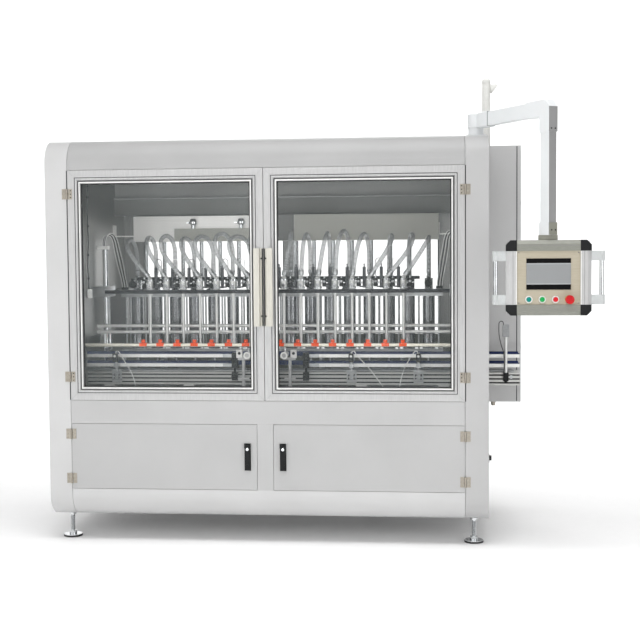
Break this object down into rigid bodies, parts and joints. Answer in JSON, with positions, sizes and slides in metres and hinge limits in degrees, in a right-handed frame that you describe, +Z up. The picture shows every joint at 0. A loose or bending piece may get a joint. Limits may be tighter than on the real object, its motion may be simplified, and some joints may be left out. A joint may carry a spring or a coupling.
{
  "type": "inline piston liquid filler",
  "caption": "Free-standing inline piston filler for bottles: glass-doored housing over a through conveyor, a row of hose-fed nozzles, side electrical cabinet and swivel operator panel.",
  "frame": {"origin": "on the floor under the centre of the machine's outline seen from above", "axes": "+X to the machine's right, along the bottle lane; +Y from its front to its rear; +Z up"},
  "size_m": [2.951, 1.6338, 2.528],
  "materials": {
    "housing_paint": "satin",
    "cabinet_paint": "satin",
    "door_paint": "satin",
    "arm_paint": "satin",
    "stainless": "brushed",
    "polished_steel": "polished",
    "anodised_aluminium": "satin",
    "handle_aluminium": "satin",
    "hinge_nickel": "satin",
    "door_glass": "clear",
    "clear_hose": "glossy",
    "black_plastic": "matte",
    "white_plastic": "glossy",
    "orange_plastic": "matte",
    "blue_plastic": "matte",
    "actuator_grey": "satin",
    "face_plate": "satin",
    "teal_plastic": "glossy",
    "green_plastic": "glossy",
    "red_plastic": "glossy"
  },
  "bodies": {
    "frame": {"left_end_housing": "housing_paint", "right_end_housing": "housing_paint", "top_cover": "housing_paint", "bottom_cover": "housing_paint", "frame_tubes": "stainless", "machine_table": "stainless", "waist_panels": "housing_paint", "rear_wall": "housing_paint", "rear_glass": "door_glass", "inner_panels": "stainless", "product_tank": "stainless", "cylinder_stand": "stainless", "cylinder_tubes": "polished_steel", "dosing_valves": "polished_steel", "feed_tubes": "polished_steel", "product_hoses": "clear_hose", "lift_units": "polished_steel", "drive_actuator": "actuator_grey", "conveyor_beams": "anodised_aluminium", "conveyor_chain": "stainless", "guide_rails": "anodised_aluminium", "rail_strips": "blue_plastic", "rail_brackets": "stainless", "guide_bars": "polished_steel", "neck_guides": "orange_plastic", "photo_eyes": "black_plastic", "stop_cylinders": "anodised_aluminium", "levelling_feet": "polished_steel", "electrical_cabinet": "cabinet_paint", "signal_pole": "white_plastic", "arm_pedestal": "arm_paint", "hinge_frame_leaves": "hinge_nickel"},
    "left_glass_door": {"left_door_frame": "anodised_aluminium", "left_door_glass": "door_glass", "left_door_handle": "handle_aluminium"},
    "right_glass_door": {"right_door_frame": "anodised_aluminium", "right_door_glass": "door_glass", "right_door_handle": "handle_aluminium"},
    "left_base_door": {"left_base_door": "door_paint"},
    "right_base_door": {"right_base_door": "door_paint"},
    "left_latch": {"left_latch_lever": "black_plastic"},
    "right_latch": {"right_latch_lever": "black_plastic"},
    "cabinet_door": {"cabinet_door": "cabinet_paint"},
    "swivel_arm": {"hmi_arm": "arm_paint"},
    "operator_panel": {"hmi_case": "cabinet_paint", "hmi_frame": "anodised_aluminium", "hmi_front": "face_plate", "hmi_handles": "anodised_aluminium"},
    "start_button": {"start_button": "teal_plastic"},
    "reset_button": {"reset_button": "green_plastic"},
    "stop_button": {"stop_button": "red_plastic"},
    "emergency_stop": {"emergency_stop": "red_plastic"},
    "nozzle_carriage": {"nozzle_bar": "stainless", "nozzles": "polished_steel"},
    "piston_carriage": {"drive_beam": "stainless", "pistons": "polished_steel"},
    "drive_drum": {"drive_drum": "stainless"},
    "idler_drum": {"idler_drum": "stainless"},
    "infeed_stop": {"infeed_stop": "stainless"},
    "outfeed_stop": {"outfeed_stop": "stainless"}
  },
  "joints": [
    {"name": "left_glass_door_swing", "type": "hinge", "parent": "frame", "child": "left_glass_door", "pos_m": [-1.2555, -0.39964, 1.367], "axis": [0, 0, -1], "range_deg": [0, 100]},
    {"name": "right_glass_door_swing", "type": "hinge", "parent": "frame", "child": "right_glass_door", "pos_m": [0.8245, -0.39964, 1.367], "axis": [0, 0, 1], "range_deg": [0, 95]},
    {"name": "left_base_door_swing", "type": "hinge", "parent": "frame", "child": "left_base_door", "pos_m": [-1.2555, -0.39964, 0.463], "axis": [0, 0, -1], "range_deg": [0, 100]},
    {"name": "right_base_door_swing", "type": "hinge", "parent": "frame", "child": "right_base_door", "pos_m": [0.8245, -0.39964, 0.463], "axis": [0, 0, 1], "range_deg": [0, 100]},
    {"name": "left_latch_lift", "type": "hinge", "parent": "left_base_door", "child": "left_latch", "pos_m": [-0.309, -0.40314, 0.525], "axis": [-1, 0, 0], "range_deg": [0, 30]},
    {"name": "right_latch_lift", "type": "hinge", "parent": "right_base_door", "child": "right_latch", "pos_m": [-0.122, -0.40314, 0.525], "axis": [-1, 0, 0], "range_deg": [0, 30]},
    {"name": "cabinet_door_swing", "type": "hinge", "parent": "frame", "child": "cabinet_door", "pos_m": [1.1355, 0.69486, 1.405], "axis": [0, 0, 1], "range_deg": [0, 100]},
    {"name": "arm_swivel", "type": "hinge", "parent": "frame", "child": "swivel_arm", "pos_m": [0.8845, -0.19314, 2.212], "axis": [0, 0, 1], "range_deg": [-5, 60]},
    {"name": "panel_swivel", "type": "hinge", "parent": "swivel_arm", "child": "operator_panel", "pos_m": [1.21, -0.73486, 1.596], "axis": [0, 0, 1], "range_deg": [-45, 45]},
    {"name": "start_press", "type": "slide", "parent": "operator_panel", "child": "start_button", "axis": [0, 1, 0], "range_m": [0, 0.004], "stiffness_N_per_m": 800},
    {"name": "reset_press", "type": "slide", "parent": "operator_panel", "child": "reset_button", "axis": [0, 1, 0], "range_m": [0, 0.004], "stiffness_N_per_m": 800},
    {"name": "stop_press", "type": "slide", "parent": "operator_panel", "child": "stop_button", "axis": [0, 1, 0], "range_m": [0, 0.004], "stiffness_N_per_m": 800},
    {"name": "emergency_stop_press", "type": "slide", "parent": "operator_panel", "child": "emergency_stop", "axis": [0, 1, 0], "range_m": [0, 0.006], "stiffness_N_per_m": 2000},
    {"name": "nozzle_lift", "type": "slide", "parent": "frame", "child": "nozzle_carriage", "axis": [0, 0, 1], "range_m": [0, 0.12], "deforming": ["product_hoses"]},
    {"name": "piston_stroke", "type": "slide", "parent": "frame", "child": "piston_carriage", "axis": [0, 0, 1], "range_m": [0, 0.14]},
    {"name": "drive_drum_turn", "type": "hinge", "parent": "frame", "child": "drive_drum", "pos_m": [1.0795, 0.05686, 0.8527], "axis": [0, 1, 0], "continuous": true},
    {"name": "idler_drum_turn", "type": "hinge", "parent": "frame", "child": "idler_drum", "pos_m": [-1.4305, 0.05686, 0.8527], "axis": [0, 1, 0], "continuous": true},
    {"name": "infeed_stop_reach", "type": "slide", "parent": "frame", "child": "infeed_stop", "axis": [0, 1, 0], "range_m": [0, 0.06], "stiffness_N_per_m": 150},
    {"name": "outfeed_stop_reach", "type": "slide", "parent": "frame", "child": "outfeed_stop", "axis": [0, 1, 0], "range_m": [0, 0.06], "stiffness_N_per_m": 150}
  ],
  "couplings": [
    {"joint": "idler_drum_turn", "follows": "drive_drum_turn", "ratio": 1}
  ]
}
